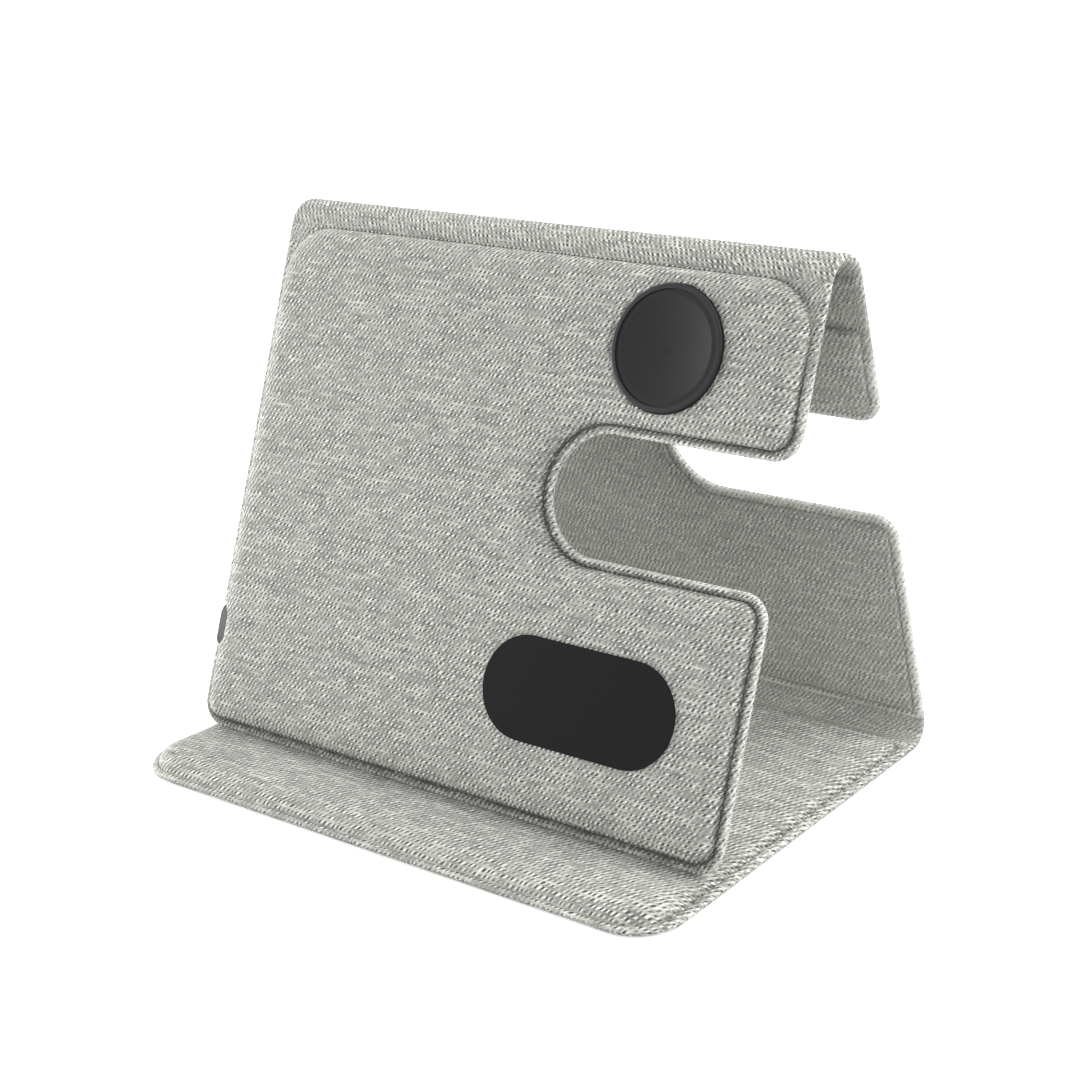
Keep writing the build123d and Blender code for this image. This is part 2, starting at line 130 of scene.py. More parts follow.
class Wiring:
    # short hand for the nodes of one tree

    def __init__(self, tree):
        self.tree = tree

    def new(self, kind):
        return self.tree.nodes.new(kind)

    def put(self, socket, value):
        if isinstance(value, bpy.types.NodeSocket):
            self.tree.links.new(value, socket)
        else:
            socket.default_value = value

    def fill(self, node, *values):
        for socket, value in zip(node.inputs, values):
            self.put(socket, value)

    def math(self, operation, *values, clamp=False):
        node = self.new("ShaderNodeMath")
        node.operation = operation
        node.use_clamp = clamp
        self.fill(node, *values)
        return node.outputs[0]

    def remap(self, value, low, high, toLow=0.0, toHigh=1.0, smooth=False):
        node = self.new("ShaderNodeMapRange")
        if smooth:
            node.interpolation_type = "SMOOTHSTEP"
        self.fill(node, value, low, high, toLow, toHigh)
        return node.outputs[0]

    def mix(self, factor, first, second, kind="RGBA"):
        node = self.new("ShaderNodeMix")
        node.data_type = kind
        for label, value in (("Factor", factor), ("A", first), ("B", second)):
            self.put(node.inputs[label], value)
        return node.outputs["Result"]

    def combine(self, x, y, z=0.0):
        node = self.new("ShaderNodeCombineXYZ")
        self.fill(node, x, y, z)
        return node.outputs[0]

    def split(self, vector):
        node = self.new("ShaderNodeSeparateXYZ")
        self.put(node.inputs[0], vector)
        return node.outputs

    def noise(self, vector, scale=1.0, detail=2.0, roughness=0.5):
        node = self.new("ShaderNodeTexNoise")
        self.put(node.inputs["Vector"], vector)
        node.inputs["Scale"].default_value = scale
        node.inputs["Detail"].default_value = detail
        node.inputs["Roughness"].default_value = roughness
        return node.outputs["Fac"]

    def random(self, vector):
        node = self.new("ShaderNodeTexWhiteNoise")
        node.noise_dimensions = "2D"
        self.put(node.inputs["Vector"], vector)
        return node.outputs["Value"]

    def bump(self, height, strength, distance):
        node = self.new("ShaderNodeBump")
        node.inputs["Strength"].default_value = strength
        node.inputs["Distance"].default_value = distance
        self.put(node.inputs["Height"], height)
        return node.outputs[0]

    def objectPoint(self):
        node = self.new("ShaderNodeTexCoord")
        return node.outputs["Object"]

    def attribute(self, name):
        node = self.new("ShaderNodeAttribute")
        node.attribute_name = name
        return node.outputs["Fac"]

    def flatPoint(self):
        node = self.new("ShaderNodeUVMap")
        node.uv_map = "flatCloth"
        return node.outputs[0]

    def scaled(self, vector, factors):
        node = self.new("ShaderNodeMapping")
        self.put(node.inputs["Vector"], vector)
        node.inputs["Scale"].default_value = factors
        return node.outputs[0]

    def grown(self, vector, factor):
        node = self.new("ShaderNodeVectorMath")
        node.operation = "SCALE"
        self.put(node.inputs[0], vector)
        self.put(node.inputs["Scale"], factor)
        return node.outputs[0]

    def seenDirectly(self):
        # 1 for rays from the camera, a mirror or clear stuff, 0 for the light it gives
        path = self.new("ShaderNodeLightPath").outputs
        seen = self.math("MAXIMUM", path["Is Camera Ray"], path["Is Glossy Ray"])
        return self.math("MAXIMUM", seen, path["Is Transmission Ray"])

    def group(self, group, **values):
        node = self.new("ShaderNodeGroup")
        node.node_tree = group
        for name, value in values.items():
            self.put(node.inputs[name], value)
        return node.outputs


def newGroup(name, inputs):
    group = bpy.data.node_groups.new(name, "ShaderNodeTree")
    for label, kind, value in inputs:
        socket = group.interface.new_socket(label, in_out="INPUT", socket_type="NodeSocket" + kind)
        if value is not None:
            socket.default_value = value
    for label, kind in (("Colour", "Color"), ("Height", "Float"), ("Roughness", "Float")):
        group.interface.new_socket(label, in_out="OUTPUT", socket_type="NodeSocket" + kind)
    source = group.nodes.new("NodeGroupInput")
    result = group.nodes.new("NodeGroupOutput")
    return group, Wiring(group), source.outputs, result.inputs


weave = {
    "pitchAcross": 1.3,           # mm from stitch to stitch
    "pitchAlong": 1.05,           # mm from row to row
    "slant": 0.62,                # lean of a stitch, in pitches per row
    "wander": (1.4, 0.85),        # mm, how far the yarns stray
    "setOff": 0.5,                # pitches between the stitches of two rows
    "rowPlay": 0.25,              # pitches, chance shift of a row
    "stitchPlay": 0.2,            # pitches, chance shift of a stitch
    "narrowing": 1.7,             # how soon a stitch ends towards the next row
    "strength": (0.35, 1.85),     # weakest and strongest stitch
    "oddWeaker": 0.25,
    "yarnSpread": 2.0,
    "yarnPale": 0.12,
    "fibreSpread": 1.5,
    "fibreDark": 0.06,
    "cloudSpread": 0.3,
    # how strongly painted shade and painted highlight move the cloth's colour
    "paintedLightDepth": 1.35,
    "paleYarn": (0.865, 0.858, 0.808, 1),
    "midYarn": (0.372, 0.369, 0.344, 1),
    "darkYarn": (0.092, 0.091, 0.084, 1),
}


def makeHeatherWeave():
    group, w, source, result = newGroup(
        "heatherWeave",
        [("Point", "Vector", None),
         ("Pitch across", "Float", weave["pitchAcross"]),
         ("Pitch along", "Float", weave["pitchAlong"]),
         ("Pale yarn", "Color", weave["paleYarn"]),
         ("Mid yarn", "Color", weave["midYarn"]),
         ("Dark yarn", "Color", weave["darkYarn"]),
         ("Crease", "Float", 0.0)],
    )
    point = source["Point"]
    x, y, _ = w.split(point)

    def uneven(spread, *noiseFacts):
        return w.math("MULTIPLY", w.math("SUBTRACT", w.noise(*noiseFacts), 0.5), spread)

    # the yarns stray from straight rows
    x = w.math("ADD", x, uneven(weave["wander"][0], point, 0.35, 2))
    y = w.math("ADD", y, uneven(weave["wander"][1], w.scaled(point, (0.2, 0.5, 1)), 1.0, 2))
    across = w.math("DIVIDE", x, source["Pitch across"])
    along = w.math("DIVIDE", y, source["Pitch along"])
    row = w.math("FLOOR", along)
    inRow = w.math("FRACT", along)
    # every other row is set off and weaker, and the stitches of a row lean
    odd = w.math("FLOORED_MODULO", row, 2.0)
    shifted = w.math("MULTIPLY_ADD", odd, weave["setOff"], across)
    shifted = w.math("MULTIPLY_ADD", inRow, -weave["slant"], shifted)
    shifted = w.math("MULTIPLY_ADD", w.random(w.combine(row, 3.7)), weave["rowPlay"], shifted)
    cell = w.math("FLOOR", shifted)
    inCell = w.math("FRACT", shifted)

    def chance(shiftCell, shiftRow):
        return w.random(w.combine(w.math("ADD", cell, shiftCell), w.math("ADD", row, shiftRow)))

    def drift(spread, along, line, apart):
        # slow change along one line of the weave, another on every line
        spot = w.combine(w.math("MULTIPLY", across, along), w.math("MULTIPLY", line, apart), 0.4)
        return uneven(spread, spot, 1.0, 1)

    # dark stitches and pale floats take turns along a row, some stronger than others
    off = w.math("MULTIPLY_ADD", w.math("SUBTRACT", chance(17.1, 0.0), 0.5), -weave["stitchPlay"], inCell)
    turn = w.math("COSINE", w.math("MULTIPLY", off, 2 * math.pi))
    inside = w.math("POWER", w.math("SINE", w.math("MULTIPLY", inRow, math.pi)), weave["narrowing"])
    chosen = w.math("ADD", chance(41.3, 5.0), drift(1.0, 0.3, row, 5.13))
    strength = w.remap(chosen, 0.0, 1.0, *weave["strength"])
    strength = w.math("MULTIPLY", strength, w.math("MULTIPLY_ADD", odd, -weave["oddWeaker"], 1.0))
    signal = w.math("MULTIPLY", w.math("MULTIPLY", turn, inside), strength)
    # between two rows runs a pale or a dark yarn
    border = w.math("FLOOR", w.math("ADD", along, 0.5))
    yarn = w.math("ADD", drift(weave["yarnSpread"], 0.32, border, 3.7), weave["yarnPale"])
    signal = w.math("MULTIPLY_ADD", yarn, w.math("SUBTRACT", 1.0, inside), signal)
    # loose fibres and soft clouds
    fibre = uneven(weave["fibreSpread"], w.scaled(point, (2.6, 3.3, 1)), 1.0, 2)
    signal = w.math("ADD", signal, w.math("SUBTRACT", fibre, weave["fibreDark"]))
    cloud = uneven(weave["cloudSpread"], w.scaled(point, (0.1, 0.22, 1)), 1.0, 2)
    signal = w.math("ADD", signal, cloud)
    # painted shade darkens the cloth in the groove beside a pad and at the heel; painted highlight pales it
    # on the rolled edge
    signal = w.math("MULTIPLY_ADD", source["Crease"], -weave["paintedLightDepth"], signal)
    pale = w.remap(signal, 0.0, 1.0)
    dark = w.remap(signal, 0.0, -1.0)
    colour = w.mix(pale, source["Mid yarn"], source["Pale yarn"])
    w.put(result["Colour"], w.mix(dark, colour, source["Dark yarn"]))
    w.put(result["Height"], w.remap(signal, -1.0, 1.0))
    w.put(result["Roughness"], w.remap(fibre, -0.4, 0.4, 0.98, 0.86))
    return group


def makeFineGrain():
    group, w, source, result = newGroup(
        "fineGrain",
        [("Point", "Vector", None),
         ("Colour", "Color", (0.5, 0.5, 0.5, 1)),
         ("Spread", "Float", 0.15),
         ("Rough", "Float", 0.5),
         ("Size", "Float", 0.4)],
    )
    point = w.grown(source["Point"], w.math("DIVIDE", 1 / mm, source["Size"]))
    speck = w.noise(point, 1.0, 3, 0.6)
    patch = w.noise(source["Point"], 60.0, 2)
    mixed = w.math("MULTIPLY_ADD", patch, 0.6, w.math("MULTIPLY", speck, 0.4))
    swing = w.math("MULTIPLY", w.math("SUBTRACT", mixed, 0.5), source["Spread"])
    brightness = w.math("MULTIPLY_ADD", swing, 2.0, 1.0)
    w.put(result["Colour"], w.grown(source["Colour"], brightness))
    w.put(result["Height"], speck)
    rough = w.math("ADD", source["Rough"], w.math("MULTIPLY", swing, 0.5), clamp=True)
    w.put(result["Roughness"], rough)
    return group


heatherWeave = makeHeatherWeave()
fineGrain = makeFineGrain()


def grainOf(w, colour, spread, rough, size):
    facts = {"Colour": (*colour, 1), "Spread": spread, "Rough": rough, "Size": size}
    return w.group(fineGrain, Point=w.objectPoint(), **facts)


def dress(w, shader, colour, roughness, height, strength, depth):
    w.put(shader.inputs["Base Color"], colour)
    w.put(shader.inputs["Roughness"], roughness)
    w.put(shader.inputs["Normal"], w.bump(height, strength, depth * mm))


def makeCloth(name, tint=1.0, contrast=1.0, stretch=(1.0, 1.0)):
    material, w, shader = newMaterial(name, 0.9, 0.0, 0.25)
    tones = {}
    for label, key in (("Pale yarn", "paleYarn"), ("Mid yarn", "midYarn"), ("Dark yarn", "darkYarn")):
        colour = weave[key]
        shades = [tint * (m + (c - m) * contrast) for c, m in zip(colour, weave["midYarn"])]
        tones[label] = (*shades[:3], 1)
    # painted shade and painted highlight from the mesh, broken up by noise
    broken = w.remap(w.noise(w.flatPoint(), 1.0, 2), 0.35, 0.62, 0.6, 1.1)
    paintedLight = w.math("MULTIPLY", w.attribute("paintedLight"), broken)
    point = w.scaled(w.flatPoint(), (1 / stretch[0], 1 / stretch[1], 1))
    yarn = w.group(heatherWeave, Point=point, Crease=paintedLight, **tones)
    dress(w, shader, yarn["Colour"], yarn["Roughness"], yarn["Height"], 0.35, 0.25)
    shader.inputs["Sheen Weight"].default_value = 0.08
    shader.inputs["Sheen Roughness"].default_value = 0.5
    return material


def makeGrained(name, colour, rough, spread=0.15, size=0.4, depth=0.02, metallic=0.0, specular=0.5):
    material, w, shader = newMaterial(name, rough, metallic, specular)
    grain = grainOf(w, colour, spread, rough, size)
    dress(w, shader, grain["Colour"], grain["Roughness"], grain["Height"], 0.5, depth)
    return material


def makeStriped(name, first, second, axis, pitch, rough, metallic=0.0):
    # fine lines across one axis, for cable tracks
    material, w, shader = newMaterial(name, rough, metallic)
    place = w.split(w.objectPoint())[axis]
    wave = w.math("FRACT", w.math("DIVIDE", place, pitch * mm))
    line = w.remap(w.math("ABSOLUTE", w.math("SUBTRACT", wave, 0.5)), 0.2, 0.28, smooth=True)
    grain = grainOf(w, first, 0.2, rough, 0.5)
    dress(w, shader, w.mix(line, grain["Colour"], (*second, 1)), grain["Roughness"], line, 0.6, 0.03)
    return material


# the colour between turns is painted shade for the valleys between them
wire = {"copper": (0.72, 0.36, 0.16), "between": (0.16, 0.06, 0.02, 1), "pitch": 0.6, "rough": 0.35}


def makeWinding(name, centre):
    # turns of enamelled wire round a coil's own middle, with painted shade in the valleys between turns
    material, w, shader = newMaterial(name, wire["rough"], 0.85)
    node = w.new("ShaderNodeVectorMath")
    node.operation = "DISTANCE"
    w.put(node.inputs[0], w.objectPoint())
    w.put(node.inputs[1], tuple(centre))
    turn = w.math("FRACT", w.math("DIVIDE", node.outputs["Value"], wire["pitch"] * mm))
    roundWire = w.math("SINE", w.math("MULTIPLY", turn, math.pi))
    grain = grainOf(w, wire["copper"], 0.3, wire["rough"], 0.6)
    # painted shade: the dark colour fills the valleys between turns, copper at their crowns
    colour = w.mix(roundWire, wire["between"], grain["Colour"])
    dress(w, shader, colour, grain["Roughness"], roundWire, 0.9, 0.2)
    return material


# tint, contrast of the yarns, and stretch across and along
clothOut = makeCloth("heathered cloth")
clothIn = makeCloth("heathered lining", 0.98)
# a copy of the lining with softer yarn contrast, for inner faces in shade: painted shade that flattens the
# weave
clothForShade = makeCloth("soft heathered lining", 1.0, 0.66)
clothBase = makeCloth("heathered base cloth", 1.0, 1.05, (1.0, 1.4))
print("materials: cloth ready")


# flat outlines: every ring of one leaf has the same count of points, so rings join one to one

density = {
    "step": 1.7,         # mm between points on straight edges
    "cornerPoints": 9,
    "slotPoints": 30,
    "fillStep": 2.3,     # mm between points inside a panel
    "hollowStep": 6.0,   # mm, the same on the hidden side of a padded layer
    "plainStep": 5.0,    # mm, the same on a layer with no padding, and on its hidden side
    "plainHidden": 8.0,
    "weld": 0.004,       # mm, points nearer than this are one
    "leastCorner": 0.6,
    "sharp": 0.001,      # radius of a corner that runs into a fold
}


def arcPoints(centre, radius, start, end, count):
    angles = [start + (end - start) * i / count for i in range(count + 1)]
    return [(centre[0] + radius * math.cos(a), centre[1] + radius * math.sin(a)) for a in angles]


def clamp(value):
    return min(max(value, 0.0), 1.0)


def shrunk(corner, inset):
    return max(corner - inset, density["leastCorner"])


def flatOf(ring):
    return [(p[0], p[1]) for p in ring]


def outwardOf(layer):
    return 1 if layer[1] > layer[0] else -1


def faceCount(piece):
    return len(piece.data.polygons)


def edgeCount(length):
    return max(2, round(length / density["step"]))


def straight(first, last, count):
    # the points between two ends, without the ends
    return [
        (first[0] + (last[0] - first[0]) * i / count, first[1] + (last[1] - first[1]) * i / count)
        for i in range(1, count)
    ]


def outline(side, low, high, lowCorner, highCorner, slot=None, mouthCorner=1.0, counts=None):
    # runs round from the lower left corner; slot is (low, high, end) of the cut from the right
    quarter = math.pi / 2
    n = density["cornerPoints"]
    runs = [arcPoints((-side + lowCorner, low + lowCorner), lowCorner, 2 * quarter, 3 * quarter, n)]
    runs.append(arcPoints((side - lowCorner, low + lowCorner), lowCorner, 3 * quarter, 4 * quarter, n))
    if slot:
        slotLow, slotHigh, slotEnd = slot
        half = (slotHigh - slotLow) / 2
        mouthX = side - mouthCorner
        runs.append(arcPoints((mouthX, slotLow - mouthCorner), mouthCorner, 0, quarter, n))
        slotMiddle = (slotEnd + half, slotLow + half)
        runs.append(arcPoints(slotMiddle, half, 3 * quarter, quarter, density["slotPoints"]))
        runs.append(arcPoints((mouthX, slotHigh + mouthCorner), mouthCorner, 3 * quarter, 4 * quarter, n))
    runs.append(arcPoints((side - highCorner, high - highCorner), highCorner, 0, quarter, n))
    runs.append(arcPoints((-side + highCorner, high - highCorner), highCorner, quarter, 2 * quarter, n))
    if counts is None:
        ends = zip(runs, runs[1:] + runs[:1])
        counts = [edgeCount(math.dist(a[-1], b[0])) for a, b in ends]
    points = []
    for run, following, count in zip(runs, runs[1:] + runs[:1], counts):
        points += run
        points += straight(run[-1], following[0], count)
    return points, counts


def topRun(counts, slotted):
    # True on the stretch that runs into the next fold: the high corners and the edge between them
    n = density["cornerPoints"] + 1
    sizes = [n, n] + ([n, density["slotPoints"] + 1, n] if slotted else []) + [n, n]
    flags = []
    last = len(sizes) - 1
    for i, (size, count) in enumerate(zip(sizes, counts)):
        flags += [i >= last - 1] * size
        flags += [i == last - 1] * (count - 1)
    return flags


def between(first, second, share):
    return [(a[0] + (b[0] - a[0]) * share, a[1] + (b[1] - a[1]) * share) for a, b in zip(first, second)]


def insideGrid(loop, step, clear):
    # points of a square grid inside a loop, at least clear from it
    loop = np.array(loop)
    low, high = loop.min(0), loop.max(0)
    xs = np.arange(low[0] + step / 2, high[0], step)
    ys = np.arange(low[1] + step / 2, high[1], step)
    points = np.array([(x, y) for y in ys for x in xs])
    following = np.roll(loop, -1, 0)
    inside = np.zeros(len(points), bool)
    nearest = np.full(len(points), 1e9)
    for a, b in zip(loop, following):
        crosses = (a[1] > points[:, 1]) != (b[1] > points[:, 1])
        if a[1] != b[1]:
            at = (b[0] - a[0]) * (points[:, 1] - a[1]) / (b[1] - a[1]) + a[0]
            inside ^= crosses & (points[:, 0] < at)
        run = b - a
        length = max(float(run @ run), 1e-12)
        t = np.clip(((points - a) @ run) / length, 0, 1)
        nearest = np.minimum(nearest, np.linalg.norm(points - a - t[:, None] * run, axis=1))
    return [tuple(p) for p in points[inside & (nearest > clear)]]


def fillLoop(loop, extra):
    # triangles over a loop of flat points with extra points inside; indices count loop then extra
    flat = [Vector(p) for p in loop] + [Vector(p) for p in extra]
    edges = [(i, (i + 1) % len(loop)) for i in range(len(loop))]
    out, _, faces, origin, _, _ = delaunay_2d_cdt(flat, edges, [], 1, 1e-6)
    names = [min(o) if o else None for o in origin]
    return [tuple(names[i] for i in face) for face in faces]


def soften(share, power):
    # rise of a padded edge from 0 at its foot to 1 at the flat
    return (1 - (1 - clamp(share)) ** power) ** (1 / power)


def relief(x, y, seed):
    # slow unevenness of foam under cloth, in mm
    return noise.noise((x / 17, y / 17, seed)) + 0.5 * noise.noise((x / 7, y / 7, seed + 9))


rim = {
    "roll": 1.1,            # mm, depth of the rounded edge
    "width": 2.1,
    "swell": 0.08,
    # mm, width of the painted shade along the groove
    "shadeWidth": 1.3,
    "lowBlend": 4.0,        # mm over which a leaf's lower edge passes into its other edges
    "fadeLength": 12.0,     # mm over which the painted shade beside the pad fades out
    "fadeLeast": 0.2,
    "highlightReach": 6.0,       # mm, the widest margin with a painted highlight on its rim, and how soon it ends
    "highlightEase": 2.0,
    "highlightFull": 1.6,        # the painted highlight on the rim is full to 0.6 times the depth, and none beyond 1.6 times
    "highlightDepth": 1.5,
}
stations = {
    "roll": (0, 18, 36, 54, 72, 90),        # degrees round the rolled edge
    "margin": (0.15, 0.3, 0.45, 0.6, 0.72, 0.82, 0.91),
    "pad": (0.012, 0.04, 0.09, 0.16, 0.26, 0.38, 0.52, 0.68, 0.84, 1.0),
    "hollow": ((1.6, 0.94), (0.7, 0.75), (0.15, 0.4)),
    "plainMargin": (0.3, 0.6, 0.85),
    "plainSeam": ((0, 1.0), (0.5, 0.55), (1.2, 0.1), (2.0, 0.0)),
    "strip": (0.18, 0.36, 0.54, 0.72, 0.86, 1.0),
}


def bulge(inset):
    # the rounded rim between the sealed edge and the groove
    share = (inset - rim["roll"]) / (rim["width"] - rim["roll"])
    return rim["swell"] * math.sin(math.pi * share) ** 2 if 0 < share < 1 else 0.0


def addObject(name, data):
    item = bpy.data.objects.new(name, data)
    bpy.context.scene.collection.objects.link(item)
    return item


def addMesh(name, vertices, faces, flat, place, material, paintedLight=None):
    mesh = bpy.data.meshes.new(name)
    mesh.from_pydata([place @ Vector(v) for v in vertices], [], faces)
    layer = mesh.uv_layers.new(name="flatCloth")
    for loop in mesh.loops:
        layer.data[loop.index].uv = flat[loop.vertex_index]
    # painted shade and painted highlight per point, for the cloth's colour
    paintedShade = mesh.attributes.new("paintedLight", "FLOAT", "POINT")
    paintedShade.data.foreach_set("value", paintedLight or [0.0] * len(vertices))
    work = bmesh.new()
    work.from_mesh(mesh)
    bmesh.ops.remove_doubles(work, verts=work.verts, dist=density["weld"] * mm)
    bmesh.ops.recalc_face_normals(work, faces=work.faces)
    work.to_mesh(mesh)
    work.free()
    mesh.materials.append(material)
    for polygon in mesh.polygons:
        polygon.use_smooth = True
    return addObject(name, mesh)


def paintedShadeAt(style, y, away):
    # how dark the painted shade shows along the groove beside the pad; a leaf's lower edge may differ from
    # its other edges, as at the front leaf's heel, where it is painted shadow
    share = clamp((y - style["lowLimit"]) / rim["lowBlend"])
    weight = style["lowPaintedShade"] + share * (style["paintedShade"] - style["lowPaintedShade"])
    width = style["lowWidth"] + share * (rim["shadeWidth"] - style["lowWidth"])
    if "fadeFrom" in style:
        weight *= max(clamp(1 - (y - style["fadeFrom"]) / rim["fadeLength"]), rim["fadeLeast"])
    return weight * math.exp(-((away / width) ** 3))


def shell(name, rings, innerExtra, outerExtra, place, material, start, seam, style):
    # rings run from the hidden side round the rim to the shown side; extras are (x, y, z) inside the ends
    # start is the first ring of the rolled edge, seam the ring in the pressed line beside the padding
    count = len(rings[0])
    vertices = [p for ring in rings for p in ring]
    faces = []
    for r in range(len(rings) - 1):
        for i in range(count):
            j = (i + 1) % count
            faces.append((r * count + i, r * count + j, (r + 1) * count + j, (r + 1) * count + i))
    # what a wall rises is added outwards in the flat cloth, so that the weave keeps its size there
    flat = [None] * len(vertices)
    paintedLight = [0.0] * len(vertices)
    for i in range(count):
        before, after = rings[seam][i - 1], rings[seam][(i + 1) % count]
        run = Vector((after[0] - before[0], after[1] - before[1]))
        run = run.normalized() if run.length > 1e-6 else Vector((1, 0))
        added = 0.0
        for r in range(len(rings) - 1, -1, -1):
            point = rings[r][i]
            if r < len(rings) - 1:
                added += math.dist(point, rings[r + 1][i]) - math.dist(point[:2], rings[r + 1][i][:2])
            flat[r * count + i] = (point[0] + run.y * added, point[1] - run.x * added)
            # painted shade, darkest at the groove beside the padding
            away = math.dist(point, rings[seam][i])
            paintedLight[r * count + i] = paintedShadeAt(style, point[1], away)
            # painted highlight on the rolled edge and rim, taken off the painted shade
            if start <= r < seam:
                margin = math.dist(rings[start][i], rings[seam][i])
                reach = clamp((rim["highlightReach"] - margin) / rim["highlightEase"])
                depth = math.dist(point, rings[start][i])
                pale = clamp(rim["highlightFull"] - depth / rim["highlightDepth"])
                paintedLight[r * count + i] -= style["paintedHighlight"] * reach * pale
    lastRing = len(rings) - 1
    for r, extra in ((lastRing, outerExtra), (0, innerExtra)):
        first, base = r * count, len(vertices)
        vertices += extra
        paintedLight += [0.0] * len(extra)
        flat += flatOf(extra)
        for face in fillLoop(flatOf(rings[r]), flatOf(extra)):
            if None not in face:
                faces.append(tuple(first + k if k < count else base + k - count for k in face))
    return addMesh(name, vertices, faces, flat, place, material, paintedLight)


def rollStations(layer):
    # (inset, level) round the edge of one layer: both layers together make a half round
    hidden, shown = layer
    angles = [math.radians(a) for a in stations["roll"]]
    return [(rim["roll"] * (1 - math.cos(a)), hidden + (shown - hidden) * math.sin(a)) for a in angles]


# front leaf

frontLeaf = {
    "flange": 2.2,
    "corner": 6.5,
    "padGap": 0.5,          # pad's upper edge under the top fold
    "padCorner": 13.0,
    "rise": 3.0,
    "liningRise": 1.5,
    "slotHeight": 27.9,
    "slotDepth": 60.8,
    "slotHigh": 88.6,
    "shoulder": 6.5,        # width of the padded edge
    "softness": 2.4,
    "unevenness": 0.07,
    "groove": 0.3,
    "paintedShade": 0.78,        # strength of the painted shade beside the pad, and of the painted shadow at the heel
    "lowPaintedShade": 0.9,
    "lowLimit": 2.3,
    "lowWidth": 1.9,
    "fadeFrom": stand["frontLength"] - 22.0,
    # strength of the painted highlight on the rolled edge
    "paintedHighlight": 0.35,
}


def frontOutline(inset, low, high, highCorner, counts=None):
    leaf = frontLeaf
    slotHigh = leaf["slotHigh"] + inset
    slotLow = leaf["slotHigh"] - leaf["slotHeight"] - inset
    slotEnd = halfWidth - leaf["slotDepth"] - inset
    corner = shrunk(leaf["corner"], inset)
    slot = (slotLow, slotHigh, slotEnd)
    return outline(halfWidth - inset, low, high, corner, highCorner, slot, corner, counts)


frontCounts = frontOutline(0, 0, stand["frontLength"], density["sharp"])[1]
frontTop = topRun(frontCounts, True)


def frontEdge(inset):
    return frontOutline(inset, inset, stand["frontLength"], density["sharp"], frontCounts)[0]


def frontPad(inward):
    leaf = frontLeaf
    inset = leaf["flange"] + inward
    high = stand["frontLength"] - leaf["padGap"] - inward
    return frontOutline(inset, inset, high, shrunk(leaf["padCorner"], inward), frontCounts)[0]


def marginLevels(points, top, inset, shown, outward):
    # swell of the rim; near a fold it follows the strip's side edges only
    levels = []
    for (x, y), atTop in zip(points, top):
        depth = halfWidth - abs(x) if atTop else inset
        levels.append(shown + outward * bulge(depth))
    return levels


def rise(x, y, style, seed):
    # what foam under the cloth adds to a panel's level, in mm
    swell = style["unevenness"] * relief(x, y, seed)
    if "crownFront" in style:
        front, rear = baseFront + style["frontFlange"], baseRear - style["rearGap"]
        before, behind = heel.y - style["heelWidth"], heel.y + style["heelWidth"]
        if y < before:
            share = max((y - front) / (before - front), 0.0)
            swell += style["crownFront"] * math.sin(math.pi * share ** 0.75)
        if y > behind:
            swell += style["crownRear"] * math.sin(math.pi * (y - behind) / (rear - behind))
    return swell


def coverRings(edge, pad, top, layer, level, style, seed):
    # rings over one padded layer: rim, margin, groove, padded edge; layer is (hidden, shown) of the margin
    shown, outward = layer[1], outwardOf(layer)
    rings = [[(x, y, z) for x, y in edge(inset)] for inset, z in rollStations(layer)]
    first, last = edge(rim["roll"]), pad(0)
    grooveLevel = shown - outward * style["groove"]
    for share in stations["margin"]:
        ring = between(first, last, share)
        inset = rim["roll"] + share * (style["flange"] - rim["roll"])
        levels = marginLevels(ring, top, inset, shown, outward)
        dip = max(0.0, (share - 0.6) / 0.4) ** 2 * style["groove"] * outward
        rings.append([(x, y, z - dip) for (x, y), z in zip(ring, levels)])
    rings.append([(x, y, grooveLevel) for x, y in last])
    for share in stations["pad"]:
        ring = pad(share * style["shoulder"])
        z = grooveLevel + (level - grooveLevel) * soften(share, style["softness"])
        rings.append([(x, y, z + outward * share ** 0.5 * rise(x, y, style, seed)) for x, y in ring])
    return rings


def hollowRings(pad, layer, cavity, style):
    # the hidden side of a padded layer, from the cavity's panel out to the margin
    hidden = layer[0]
    rings = []
    steps = [(style["shoulder"] * 0.7, 1.0)]
    steps += [(cloth + inward, share) for inward, share in stations["hollow"]]
    for inward, share in steps:
        rings.append([(x, y, hidden + (cavity - hidden) * share) for x, y in pad(inward)])
    rings.append([(x, y, hidden) for x, y in pad(cloth)])
    return rings


def panelPoints(ring, level, style, seed, outward):
    points = insideGrid(flatOf(ring), density["fillStep"], density["fillStep"] * 0.55)
    return [(x, y, level + outward * rise(x, y, style, seed)) for x, y in points]


def flatPoints(ring, level, step):
    points = insideGrid(flatOf(ring), step, step * 0.5)
    return [(x, y, level) for x, y in points]


def paddedLayer(name, edge, pad, top, layer, level, cavity, style, seed, place, material):
    hidden = hollowRings(pad, layer, cavity, style)
    shown = coverRings(edge, pad, top, layer, level, style, seed)
    inner = flatPoints(hidden[0], cavity, density["hollowStep"])
    outer = panelPoints(shown[-1], level, style, seed, outwardOf(layer))
    seam = len(hidden) + len(stations["roll"]) + len(stations["margin"])
    return shell(name, hidden + shown, inner, outer, place, material, len(hidden), seam, style)


frontLayer = (-cloth, 0.0)
liningLayer = (-cloth - stand["film"], -twoCloths)
frontCover = paddedLayer(
    "frontCover", frontEdge, frontPad, frontTop, frontLayer, frontLeaf["rise"], frontLeaf["rise"] - cloth,
    frontLeaf, 1.0, places["front_leaf"], clothOut,
)
liningStyle = dict(frontLeaf, shoulder=5.0, unevenness=0.05)
liningBack = liningLayer[0] - frontLeaf["liningRise"]
frontLining = paddedLayer(
    "frontLining", frontEdge, frontPad, frontTop, liningLayer, liningBack - cloth, liningBack,
    liningStyle, 2.0, places["front_leaf"], clothIn,
)
print("front leaf: cover %d and lining %d faces" % (faceCount(frontCover), faceCount(frontLining)))


# base

